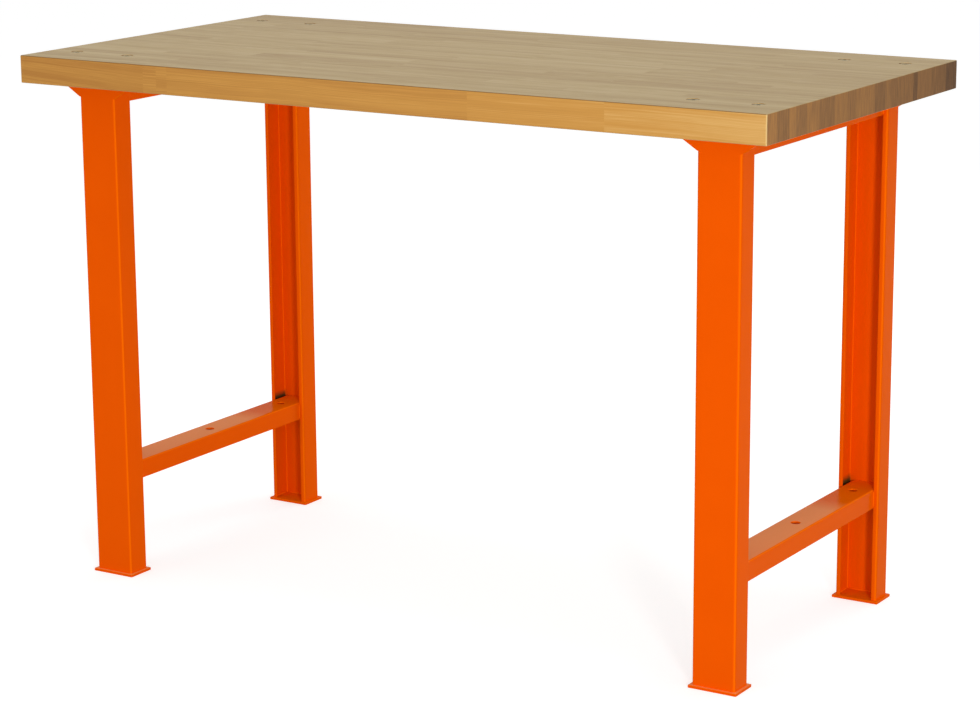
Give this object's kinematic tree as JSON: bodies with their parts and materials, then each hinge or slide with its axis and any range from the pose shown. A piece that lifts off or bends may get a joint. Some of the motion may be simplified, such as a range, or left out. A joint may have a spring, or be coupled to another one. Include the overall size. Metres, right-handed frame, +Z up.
{
  "type": "workbench",
  "caption": "Free-standing workbench: thick laminated wood top bolted to welded end frames of folded steel, with flat foot plates, low stretchers and flared head brackets.",
  "frame": {"origin": "on the floor under the middle of the bench", "axes": "+X along the worktop's length to the user's right, +Y from the front edge to the back edge, +Z up"},
  "size_m": [1.5, 0.75, 0.98],
  "materials": {
    "beech": "clear satin lacquer",
    "orange_powder_coat": "semi-gloss",
    "dark_steel": "black oxide",
    "zinc_plate": "satin"
  },
  "bodies": {
    "root": {"worktop": "beech", "front_left_post": "orange_powder_coat", "front_right_post": "orange_powder_coat", "rear_left_post": "orange_powder_coat", "rear_right_post": "orange_powder_coat", "front_left_foot_plate": "orange_powder_coat", "front_right_foot_plate": "orange_powder_coat", "rear_left_foot_plate": "orange_powder_coat", "rear_right_foot_plate": "orange_powder_coat", "front_left_top_bracket": "orange_powder_coat", "front_right_top_bracket": "orange_powder_coat", "rear_left_top_bracket": "orange_powder_coat", "rear_right_top_bracket": "orange_powder_coat", "left_stretcher": "orange_powder_coat", "right_stretcher": "orange_powder_coat", "left_top_rail": "orange_powder_coat", "right_top_rail": "orange_powder_coat", "front_left_outer_bolt": "dark_steel", "front_left_inner_bolt": "dark_steel", "front_right_outer_bolt": "dark_steel", "front_right_inner_bolt": "dark_steel", "rear_left_outer_bolt": "dark_steel", "rear_left_inner_bolt": "dark_steel", "rear_right_outer_bolt": "dark_steel", "rear_right_inner_bolt": "dark_steel", "front_left_outer_washer": "zinc_plate", "front_left_inner_washer": "zinc_plate", "front_right_outer_washer": "zinc_plate", "front_right_inner_washer": "zinc_plate", "rear_left_outer_washer": "zinc_plate", "rear_left_inner_washer": "zinc_plate", "rear_right_outer_washer": "zinc_plate", "rear_right_inner_washer": "zinc_plate", "front_left_outer_nut": "zinc_plate", "front_left_inner_nut": "zinc_plate", "front_right_outer_nut": "zinc_plate", "front_right_inner_nut": "zinc_plate", "rear_left_outer_nut": "zinc_plate", "rear_left_inner_nut": "zinc_plate", "rear_right_outer_nut": "zinc_plate", "rear_right_inner_nut": "zinc_plate"}
  },
  "joints": []
}
